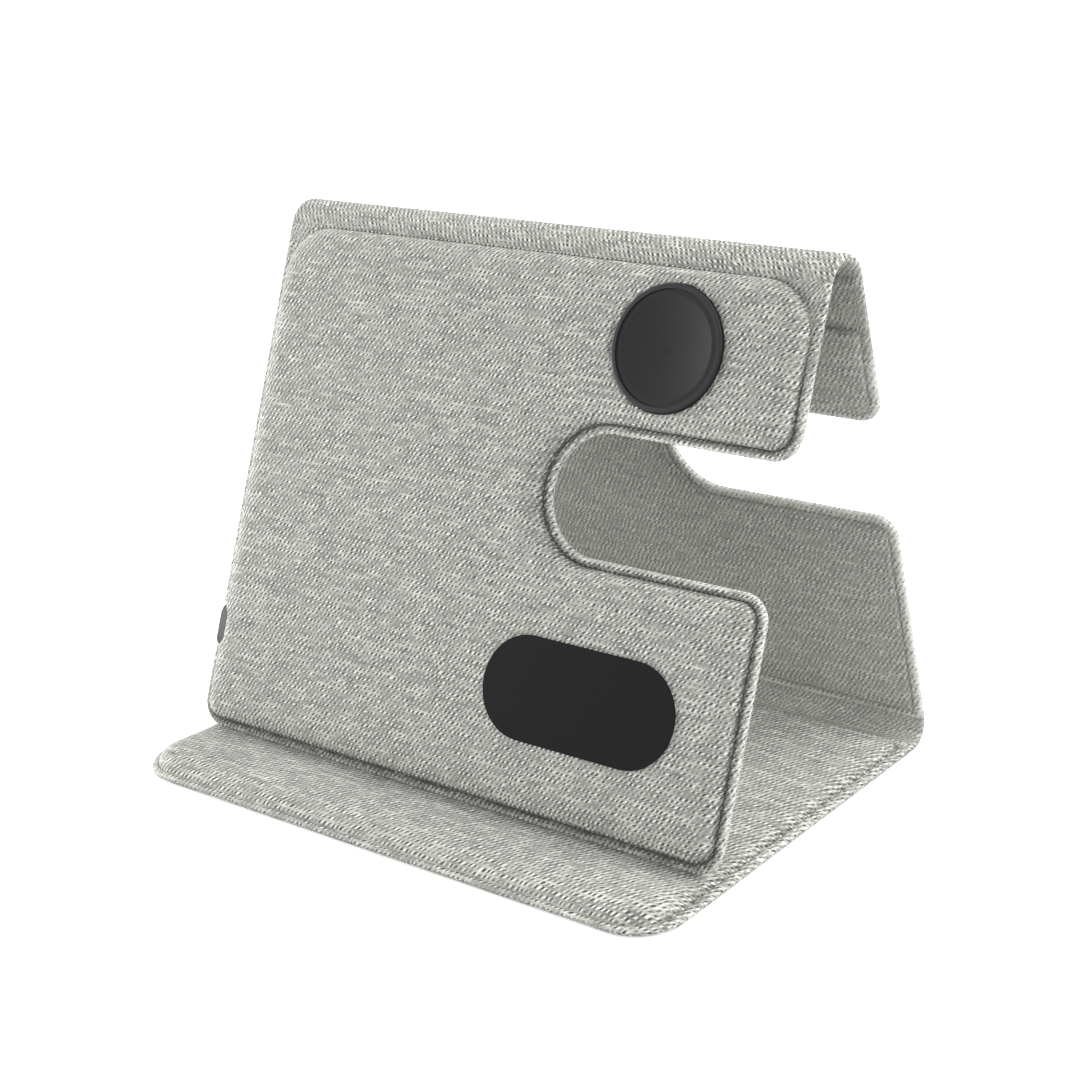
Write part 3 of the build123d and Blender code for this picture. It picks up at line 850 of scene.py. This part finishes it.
basePad = {
    "corner": 12.0,
    "flange": 2.0,
    "frontFlange": 1.0,
    "rearGap": 2.0,
    "frontCorner": 11.0,
    "rearCorner": 5.0,
    "shoulder": 4.8,
    "softness": 2.9,
    "unevenness": 0.06,
    "groove": 0.2,
    # painted shade beside the pad, fainter at the front edge
    "paintedShade": 0.35,
    "lowPaintedShade": 0.15,
    "lowLimit": baseFront + 6.0,
    "lowWidth": 0.7,
    # faint painted highlight on the rolled edge
    "paintedHighlight": 0.12,
    "seamDepth": 0.12,      # mm, the pressed line under the base
    "crownFront": 1.4,      # mm, swell of the pad before and behind the heel's line
    "crownRear": 0.45,
    "heelWidth": 3.5,       # mm, half width of the strip the heel presses down
}


def baseOutline(inset, low, high, lowCorner, highCorner, counts=None):
    return outline(halfWidth - inset, low, high, lowCorner, highCorner, None, 1.0, counts)


baseCounts = baseOutline(0, baseFront, baseRear, basePad["corner"], density["sharp"])[1]
baseTop = topRun(baseCounts, False)


def baseEdge(inset):
    corner = shrunk(basePad["corner"], inset)
    return baseOutline(inset, baseFront + inset, baseRear, corner, density["sharp"], baseCounts)[0]


def basePadLine(inward):
    low = baseFront + basePad["frontFlange"] + inward
    high = baseRear - basePad["rearGap"] - inward
    lowCorner = shrunk(basePad["frontCorner"], inward)
    highCorner = shrunk(basePad["rearCorner"], inward)
    return baseOutline(basePad["flange"] + inward, low, high, lowCorner, highCorner, baseCounts)[0]


underside = baseLow.z
bottomLayer = (underside + cloth, underside)
topLayer = (underside + cloth + stand["film"], underside + twoCloths)
baseTopCover = paddedLayer(
    "baseTopCover", baseEdge, basePadLine, baseTop, topLayer, padTop, padTop - cloth,
    basePad, 3.0, places["base"], clothBase,
)


def plainLayer(name, edge, seam, top, layer, place, material, style):
    # a layer of cloth with no padding: rolled edge, rim, and a pressed line over the board's edge
    hidden, shown = layer
    outward = outwardOf(layer)
    rings = [[(x, y, z) for x, y in edge(inset)] for inset, z in rollStations(layer)]
    first, last = edge(rim["roll"]), seam(0)
    for share in stations["plainMargin"]:
        ring = between(first, last, share)
        inset = rim["roll"] + share * (rim["width"] - rim["roll"])
        levels = marginLevels(ring, top, inset, shown, outward * 0.6)
        rings.append([(x, y, z) for (x, y), z in zip(ring, levels)])
    for inward, share in stations["plainSeam"]:
        rings.append([(x, y, shown - outward * style["seamDepth"] * share) for x, y in seam(inward)])
    inner = flatPoints(rings[0], hidden, density["plainHidden"])
    outer = flatPoints(rings[-1], shown, density["plainStep"])
    seamRing = len(rings) - len(stations["plainSeam"])
    return shell(name, rings, inner, outer, place, material, 0, seamRing, style)


baseBottomCover = plainLayer(
    "baseBottomCover", baseEdge, basePadLine, baseTop, bottomLayer, places["base"], clothOut, basePad,
)
print("base: top %d and bottom %d faces" % (faceCount(baseTopCover), faceCount(baseBottomCover)))


# back leaf

backLeaf = {
    "corner": 5.5,
    "boardGap": 14.0,       # board's upper edge under the top fold
    "boardThickness": 1.0,
    "slotLow": 56.5,
    "slotHigh": 81.4,
    "slotDepth": 59.0,
    "flange": 2.1,
    "shoulder": 2.4,
    "softness": 2.2,
    "unevenness": 0.05,
    "groove": 0.05,
    # faint painted shade beside the board
    "paintedShade": 0.15,
    "lowPaintedShade": 0.15,
    "lowLimit": 0.0,
    "lowWidth": 0.7,
    # painted highlight on the rolled edge of the lining
    "paintedHighlight": 0.7,
    "seamDepth": 0.15,      # mm, the pressed line on the outside
}


def backOutline(inset, low, high, corner, counts=None):
    leaf = backLeaf
    slot = (leaf["slotLow"] - inset, leaf["slotHigh"] + inset, halfWidth - leaf["slotDepth"] - inset)
    mouth = shrunk(leaf["corner"], inset)
    return outline(halfWidth - inset, low, high, corner, corner, slot, mouth, counts)


backCounts = backOutline(0, 0, stand["backLength"], density["sharp"])[1]
# the back leaf runs into a fold at its foot as well as at its top
backTop = topRun(backCounts, True)
footRun = 2 * (density["cornerPoints"] + 1) + backCounts[0] - 1
backTop[:footRun] = [True] * footRun


def backEdge(inset):
    return backOutline(inset, 0, stand["backLength"], density["sharp"], backCounts)[0]


def backPanel(inward):
    inset = backLeaf["flange"] + inward
    high = stand["backLength"] - backLeaf["boardGap"] + cloth - inward
    return backOutline(inset, backLeaf["flange"] + inward, high, 0.8, backCounts)[0]


backLayer = (cloth, 0.0)
backLiningLayer = (cloth + stand["film"], twoCloths)
boardTop = backLiningLayer[0] + backLeaf["boardThickness"] + stand["film"]
backCover = plainLayer(
    "backCover", backEdge, backPanel, backTop, backLayer, places["back_leaf"], clothOut,
    # a fainter painted highlight on the outside's rolled edge
    {**backLeaf, "paintedHighlight": 0.25},
)
backLining = paddedLayer(
    "backLining", backEdge, backPanel, backTop, backLiningLayer, boardTop + cloth, boardTop,
    backLeaf, 4.0, places["back_leaf"], clothForShade,
)
print("back leaf: cover %d and lining %d faces" % (faceCount(backCover), faceCount(backLining)))


# folds: a flat strip of cloth, bent round the fold's axis by nodes

fold = {"steps": 40, "acrossStep": 3.0}
rearFold = {
    "bodies": ("base", "back_leaf"),
    "axis": rearAxis,
    "radius": rearRadius,
    "start": -math.pi / 2,
    "sweep": math.pi - backLean,
}
topFold = {
    "bodies": ("back_leaf", "front_leaf"),
    "axis": topAxis,
    "radius": topRadius,
    "start": math.pi / 2 - backLean,
    "sweep": backLean + frontLean,
}
ribbon = {"play": 0.05, "thickness": 0.25}


def makeBendTree():
    tree = bpy.data.node_groups.new("bendStrip", "GeometryNodeTree")
    inputs = {"Geometry": "Geometry", "Material": "Material"}
    for label in ("Axis Y", "Axis Z", "Radius", "Start", "Sweep", "Length"):
        inputs[label] = "Float"
    for label, kind in inputs.items():
        tree.interface.new_socket(label, in_out="INPUT", socket_type="NodeSocket" + kind)
    tree.interface.new_socket("Geometry", in_out="OUTPUT", socket_type="NodeSocketGeometry")
    source = tree.nodes.new("NodeGroupInput").outputs
    result = tree.nodes.new("NodeGroupOutput").inputs

    w = Wiring(tree)
    x, y, z = w.split(tree.nodes.new("GeometryNodeInputPosition").outputs[0])
    share = w.math("DIVIDE", y, source["Length"])
    angle = w.math("ADD", w.math("MULTIPLY", share, source["Sweep"]), source["Start"])
    radius = w.math("ADD", z, source["Radius"])
    bentY = w.math("ADD", w.math("MULTIPLY", w.math("COSINE", angle), radius), source["Axis Y"])
    bentZ = w.math("ADD", w.math("MULTIPLY", w.math("SINE", angle), radius), source["Axis Z"])
    move = tree.nodes.new("GeometryNodeSetPosition")
    tree.links.new(source["Geometry"], move.inputs["Geometry"])
    tree.links.new(w.combine(x, bentY, bentZ), move.inputs["Position"])
    real = tree.nodes.new("GeometryNodeRealizeInstances")
    finish = tree.nodes.new("GeometryNodeSetMaterial")
    tree.links.new(move.outputs[0], real.inputs[0])
    tree.links.new(real.outputs[0], finish.inputs["Geometry"])
    tree.links.new(source["Material"], finish.inputs["Material"])
    tree.links.new(finish.outputs[0], result["Geometry"])
    return tree


bendTree = makeBendTree()


def bake(piece, modifier):
    # the mesh that a modifier makes takes the place of the piece's own
    graph = bpy.context.evaluated_depsgraph_get()
    changed = piece.evaluated_get(graph)
    mesh = bpy.data.meshes.new_from_object(changed, preserve_all_data_layers=True, depsgraph=graph)
    piece.modifiers.remove(modifier)
    old = piece.data
    piece.data = mesh
    bpy.data.meshes.remove(old)
    mesh.name = piece.name
    return mesh


def applyNodes(piece, tree, values):
    modifier = piece.modifiers.new("nodes", "NODES")
    modifier.node_group = tree
    for item in tree.interface.items_tree:
        if item.in_out == "INPUT" and item.name in values:
            modifier[item.identifier] = values[item.name]
    bake(piece, modifier)
    return piece


def stripSection(layer):
    # closed section of one layer across the stand, as (x, z)
    hidden, shown = layer
    half = [(halfWidth - inset, z) for inset, z in rollStations(layer)]
    for share in stations["strip"]:
        inset = rim["roll"] + share * (rim["width"] - rim["roll"])
        half.append((halfWidth - inset, shown + outwardOf(layer) * bulge(inset)))
    reach = half[-1][0]
    count = round(2 * reach / fold["acrossStep"])
    middle = [(reach - 2 * reach * i / count, shown) for i in range(1, count)]
    section = half + middle + [(-x, z) for x, z in reversed(half)]
    edge = section[0][0]
    under = [(-edge + 2 * edge * i / count, hidden) for i in range(1, count)]
    return section + under


def ribbonSection(node):
    # closed section of the flat cable between the two cloths
    low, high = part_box(node)
    shown = -cloth - ribbon["play"]
    hidden = shown - ribbon["thickness"]
    return [(high.x / mm, hidden), (high.x / mm, shown), (low.x / mm, shown), (low.x / mm, hidden)]


def foldStrip(name, section, bend, material, flatStart):
    length = bend["radius"] * bend["sweep"]
    count, steps = len(section), fold["steps"]
    vertices, flat, faces = [], [], []
    for s in range(steps + 1):
        y = length * s / steps
        vertices += [(x, y, z) for x, z in section]
        flat += [(x, flatStart + y) for x, z in section]
    for s in range(steps):
        for i in range(count):
            j = (i + 1) % count
            faces.append((s * count + i, s * count + j, (s + 1) * count + j, (s + 1) * count + i))
    faces.append(tuple(range(count)))
    faces.append(tuple(steps * count + i for i in range(count)))
    piece = addMesh(name, vertices, faces, flat, Matrix.Scale(mm, 4), material)
    return applyNodes(piece, bendTree, {
        "Axis Y": bend["axis"].y * mm,
        "Axis Z": bend["axis"].z * mm,
        "Radius": bend["radius"] * mm,
        "Start": bend["start"],
        "Sweep": bend["sweep"],
        "Length": length * mm,
        "Material": material,
    })


outerStrip = stripSection((-cloth, 0.0))
innerStrip = stripSection((-cloth - stand["film"], -twoCloths))
# the last value is where a strip's weave starts, in mm
rearFoldCover = foldStrip("rearFoldCover", outerStrip, rearFold, clothOut, 20.3)
rearFoldLining = foldStrip("rearFoldLining", innerStrip, rearFold, clothForShade, 31.7)
topFoldCover = foldStrip("topFoldCover", outerStrip, topFold, clothOut, 47.1)
topFoldLining = foldStrip("topFoldLining", innerStrip, topFold, clothForShade, 53.9)
print("folds: %d faces each" % faceCount(topFoldCover))


# cuts for the charging puck and the power inlet

cuts = {
    "holeGap": 0.2,         # mm round the puck
    "holeLow": 0.2,         # mm over the margin, from where to where the hole is cut
    "holeHigh": 8.0,
    "inletMargin": 0.1,
    "inletDepth": 6.0,
    "wayDepth": 12.0,       # half height of the open way before the bezel
    "beyond": 2.0,          # how far the tools stand out of the leaf's side
}


def cutAway(piece, tool):
    modifier = piece.modifiers.new("cut", "BOOLEAN")
    modifier.operation = "DIFFERENCE"
    modifier.solver = "EXACT"
    modifier.object = tool
    mesh = bake(piece, modifier)
    while len(mesh.materials) > 1:
        mesh.materials.pop()


def prism(name, loop, low, high, place):
    # loop of flat points drawn out between two levels
    count = len(loop)
    vertices = [(x, y, low) for x, y in loop] + [(x, y, high) for x, y in loop]
    faces = [tuple(range(count)), tuple(range(count, 2 * count))]
    faces += [(i, (i + 1) % count, count + (i + 1) % count, count + i) for i in range(count)]
    flat = [(x, y) for x, y, _ in vertices]
    return addMesh(name, vertices, faces, flat, place, clothOut)


toFront = places["front_leaf"].inverted()
caseLocal = np.array([toFront @ v.co for v in frame["nodes"]["watch_case"].data.vertices])
puckRim = caseLocal[caseLocal[:, 2] > frontLeaf["rise"]]
puckX = float((puckRim[:, 0].max() + puckRim[:, 0].min()) / 2)
puckY = float((puckRim[:, 1].max() + puckRim[:, 1].min()) / 2)
puckRadius = float((puckRim[:, 0].max() - puckRim[:, 0].min()) / 2)
hole = arcPoints((puckX, puckY), puckRadius + cuts["holeGap"], 0, 2 * math.pi, 72)[:-1]
tool = prism("holeTool", hole, cuts["holeLow"], cuts["holeHigh"], places["front_leaf"])
cutAway(frontCover, tool)
bpy.data.objects.remove(tool)

bezelLocal = np.array([toFront @ v.co for v in frame["nodes"]["usb_bezel"].data.vertices])
low, high = bezelLocal.min(0), bezelLocal.max(0)
half = (high[2] - low[2]) / 2 + cuts["inletMargin"]
lowY, highY = low[1] - cuts["inletMargin"] + half, high[1] + cuts["inletMargin"] - half
mouth = arcPoints((lowY, 0), half, math.pi / 2, 1.5 * math.pi, 14)
mouth += arcPoints((highY, 0), half, -math.pi / 2, math.pi / 2, 14)
level = (low[2] + high[2]) / 2
sideways = places["front_leaf"] @ Matrix(((0, 0, 1, 0), (1, 0, 0, 0), (0, 1, 0, level), (0, 0, 0, 1)))
spanLow, spanHigh = low[1] - cuts["inletMargin"], high[1] + cuts["inletMargin"]
wayDepth = cuts["wayDepth"]
way = [(spanLow, -wayDepth), (spanHigh, -wayDepth), (spanHigh, wayDepth), (spanLow, wayDepth)]
tools = [
    prism("inletTool", mouth, -halfWidth - cuts["beyond"], low[0] + cuts["inletDepth"], sideways),
    prism("wayTool", way, -halfWidth - cuts["beyond"], low[0], sideways),
]
for tool in tools:
    for piece in (frontCover, frontLining):
        cutAway(piece, tool)
    bpy.data.objects.remove(tool)
print("cuts: puck radius %.2f at %.1f, %.1f" % (puckRadius, puckX, puckY))


# finish of the carried-over nodes

# colour, roughness, spread of the colour, grain and its depth in mm, metallic, specular
finishes = {
    "front_badge": makeGrained("matt black plate", (0.009, 0.009, 0.0092), 0.7, 0.2, 0.25, 0.01, 0.0, 0.1),
    "watch_case": makeGrained("dark moulding", (0.02, 0.0205, 0.022), 0.5, 0.2, 0.3, 0.012, 0.0, 0.25),
    "watch_cap": makeGrained("charging dish", (0.014, 0.0143, 0.0155), 0.4, 0.15, 0.4, 0.005, 0.0, 0.22),
    "usb_bezel": makeGrained("inlet bezel", (0.05, 0.05, 0.052), 0.48, 0.2, 0.3, 0.015),
    "usb_shell": makeGrained("drawn steel", (0.62, 0.62, 0.63), 0.3, 0.12, 0.2, 0.006, 1.0),
    "usb_tongue": makeGrained("tongue moulding", (0.02, 0.02, 0.02), 0.5, 0.2, 0.3, 0.01),
    "foam": makeGrained("open foam", (0.62, 0.6, 0.55), 0.95, 0.5, 0.5, 0.2),
    "housing": makeGrained("housing moulding", (0.08, 0.08, 0.085), 0.5, 0.2, 0.35, 0.02),
    "back_board": makeGrained("stiff card", (0.42, 0.38, 0.32), 0.9, 0.35, 0.9, 0.03),
    "ferrite": makeGrained("ferrite sheet", (0.04, 0.038, 0.04), 0.55, 0.3, 0.2, 0.02),
    "magnet": makeGrained("nickel plate", (0.66, 0.63, 0.58), 0.25, 0.1, 0.3, 0.004, 1.0),
    "control_board": makeGrained("circuit laminate", (0.02, 0.16, 0.07), 0.4, 0.25, 0.5, 0.01),
    "control_chips": makeGrained("chip resin", (0.015, 0.015, 0.017), 0.6, 0.2, 0.2, 0.01),
    "tuning_capacitors": makeGrained("brown ceramic", (0.32, 0.2, 0.11), 0.45, 0.2, 0.2, 0.01),
    "foot": makeGrained("grey rubber", (0.12, 0.12, 0.118), 0.8, 0.3, 0.4, 0.03),
    "ribbon": makeStriped("ribbon film", (0.5, 0.2, 0.04), (0.35, 0.12, 0.02), 0, 1.0, 0.4),
}


def finishOf(node):
    if node.endswith("_coil"):
        low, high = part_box(node)
        return makeWinding(node.replace("_", " ") + " wire", (low + high) / 2)
    for word, material in finishes.items():
        if word in node:
            return material
    if node.endswith(("_shell", "_plate")):
        return finishes["housing"]
    return None


for node, piece in frame["nodes"].items():
    material = finishOf(node) or clothOut
    piece.data.materials.clear()
    piece.data.materials.append(material)
rearSection, topSection = ribbonSection("rear_fold_ribbon"), ribbonSection("top_fold_ribbon")
rearFoldRibbon = foldStrip("rearFoldRibbon", rearSection, rearFold, finishes["ribbon"], 0.0)
topFoldRibbon = foldStrip("topFoldRibbon", topSection, topFold, finishes["ribbon"], 0.0)
print("finishes: all nodes dressed")


# ride and replace

riders = {
    "front_leaf": {frontCover: ("front_cover", "cloth"), frontLining: ("front_lining", "lining")},
    "back_leaf": {backCover: ("back_cover", "cloth"), backLining: ("back_lining", "lining")},
    "base": {baseTopCover: ("base_top_cover", "lining"), baseBottomCover: ("base_bottom_cover", "cloth")},
}
for body, pieces in riders.items():
    for piece, (node, slot) in pieces.items():
        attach(piece, body)
        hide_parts(node)

folds = {
    rearFoldCover: ("rear_fold_cover", "cloth", rearFold),
    rearFoldLining: ("rear_fold_lining", "lining", rearFold),
    topFoldCover: ("top_fold_cover", "cloth", topFold),
    topFoldLining: ("top_fold_lining", "lining", topFold),
    rearFoldRibbon: ("rear_fold_ribbon", "ribbon", rearFold),
    topFoldRibbon: ("top_fold_ribbon", "ribbon", topFold),
}
for piece, (node, slot, bend) in folds.items():
    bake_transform(piece)
    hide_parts(node)
plainSheets = {backCover: (backEdge(0), "back_board"), baseBottomCover: (baseEdge(0), "base_plate")}


# light, floor and camera

studio = {
    "floorSize": 6.0,
    "floorColour": (0.86, 0.86, 0.86),
    "floorLift": 0.7,
    "worldStrength": 0.41,
    "key": {"place": (0.0, -0.75, 1.05), "size": 0.9, "power": 1.0},
    "fill": {"place": (0.68, -0.74, 0.52), "size": 0.8, "power": 1.0},
    "side": {"place": (0.95, 0.2, 0.75), "size": 0.8, "power": 7.6},
    "back": {"place": (0.5, 0.6, 1.0), "size": 0.9, "power": 9.8},
    "left": {"place": (-0.7, -0.15, 0.1), "size": 0.5, "power": 9.0},
    "target": (0.0, 0.0, 0.05),
}


def makeFloor():
    half = studio["floorSize"] / 2
    mesh = bpy.data.meshes.new("floor")
    corners = [(-half, -half, 0), (half, -half, 0), (half, half, 0), (-half, half, 0)]
    mesh.from_pydata(corners, [], [(0, 1, 2, 3)])
    floor = addObject("floor", mesh)
    material, w, shader = newMaterial("pale floor", 0.9, 0.0, 0.1)
    grain = grainOf(w, studio["floorColour"], 0.01, 0.9, 3.0)
    w.put(shader.inputs["Base Color"], grain["Colour"])
    shader.inputs["Emission Color"].default_value = (1, 1, 1, 1)
    w.put(shader.inputs["Emission Strength"], w.math("MULTIPLY", w.seenDirectly(), studio["floorLift"]))
    mesh.materials.append(material)


def makeWorld():
    world = bpy.data.worlds.new("studio")
    bpy.context.scene.world = world
    world.use_nodes = True
    tree = world.node_tree
    w = Wiring(tree)
    background = tree.nodes["Background"]
    background.inputs["Color"].default_value = (1, 1, 1, 1)
    w.put(background.inputs["Strength"], w.mix(w.seenDirectly(), studio["worldStrength"], 1.0, "FLOAT"))


def makeLamp(name):
    facts = studio[name]
    lamp = bpy.data.lights.new(name, "AREA")
    lamp.shape = "DISK"
    lamp.size = facts["size"]
    lamp.energy = facts["power"]
    item = addObject(name, lamp)
    item.location = facts["place"]
    item.rotation_mode = "QUATERNION"
    item.rotation_quaternion = (Vector(studio["target"]) - item.location).to_track_quat("-Z", "Y")


eye = {
    "place": (302.2, -364.2, 225.7),        # mm
    "turn": (70.275, 2.942, 37.877),        # degrees
    "lens": 71.49,                          # mm on a 36 mm square
}


def makeCamera():
    camera = bpy.data.cameras.new("camera")
    camera.sensor_width = 36.0
    camera.lens = eye["lens"]
    camera.clip_start = 0.01
    item = addObject("camera", camera)
    item.location = Vector(eye["place"]) * mm
    item.rotation_euler = Euler([math.radians(a) for a in eye["turn"]], "XYZ")
    bpy.context.scene.camera = item


makeFloor()
makeWorld()
for lampName in ("key", "fill", "side", "back", "left"):
    makeLamp(lampName)
makeCamera()
bpy.context.scene.view_settings.view_transform = "Standard"
print("studio: floor, lamps and camera set")

bpy.context.view_layer.update()
